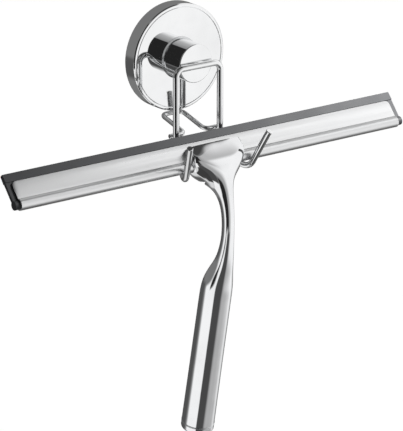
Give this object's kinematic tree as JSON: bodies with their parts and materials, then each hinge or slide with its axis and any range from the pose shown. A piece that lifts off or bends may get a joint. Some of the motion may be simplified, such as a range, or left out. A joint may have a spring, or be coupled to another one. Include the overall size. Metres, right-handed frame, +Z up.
{
  "type": "window squeegee with suction holder",
  "caption": "Chrome hand squeegee with a rubber blade, resting on a wire hanger that turns on a twist-lock suction wall plate.",
  "frame": {"origin": "where the axis of the round wall plate meets the wall", "axes": "+Y into the wall, the object standing in front of it at -Y; +Z up; +X along the blade, to the right as the user faces the wall"},
  "size_m": [0.25, 0.0566, 0.2356],
  "materials": {
    "chrome_shell": "mirror-polished chrome plate",
    "chrome_wire": "bright chrome-plated wire",
    "chrome_casting": "mirror-polished chrome on a die casting",
    "bright_steel": "bright turned steel",
    "satin_steel": "satin stainless strip, grained along its length",
    "black_rubber": "matt extruded rubber",
    "clear_rubber": "soft milky rubber",
    "white_plastic": "moulded plastic"
  },
  "bodies": {
    "wall_plate": {"housing": "chrome_shell", "pressure_ring": "white_plastic", "cup_skirt": "clear_rubber"},
    "draw_stud": {"draw_stud": "bright_steel", "cross_pin": "bright_steel", "cup_core": "clear_rubber"},
    "hanger": {"post": "chrome_shell", "cam_ring": "white_plastic", "retaining_clip": "bright_steel", "thrust_washer": "bright_steel", "hanger_wire": "chrome_wire", "standoff_wire": "chrome_wire"},
    "squeegee": {"handle": "chrome_casting", "clamp_plate": "chrome_casting", "clamp_screw_left": "bright_steel", "clamp_screw_right": "bright_steel", "channel": "satin_steel", "rubber_blade": "black_rubber", "cap_collar": "bright_steel", "end_cap": "chrome_casting"}
  },
  "joints": [
    {"name": "hanger_turn", "type": "hinge", "parent": "wall_plate", "child": "hanger", "pos_m": [0, 0, 0], "axis": [0, 1, 0], "range_deg": [0, 90]},
    {"name": "stud_draw", "type": "slide", "parent": "wall_plate", "child": "draw_stud", "axis": [0, 1, 0], "range_m": [0, 0.0025]},
    {"name": "squeegee_lift", "type": "slide", "parent": "hanger", "child": "squeegee", "axis": [0, 0, 1], "range_m": [0, 0.06]}
  ],
  "couplings": [
    {"joint": "stud_draw", "follows": "hanger_turn", "m_per_rad": 0.0015915}
  ]
}
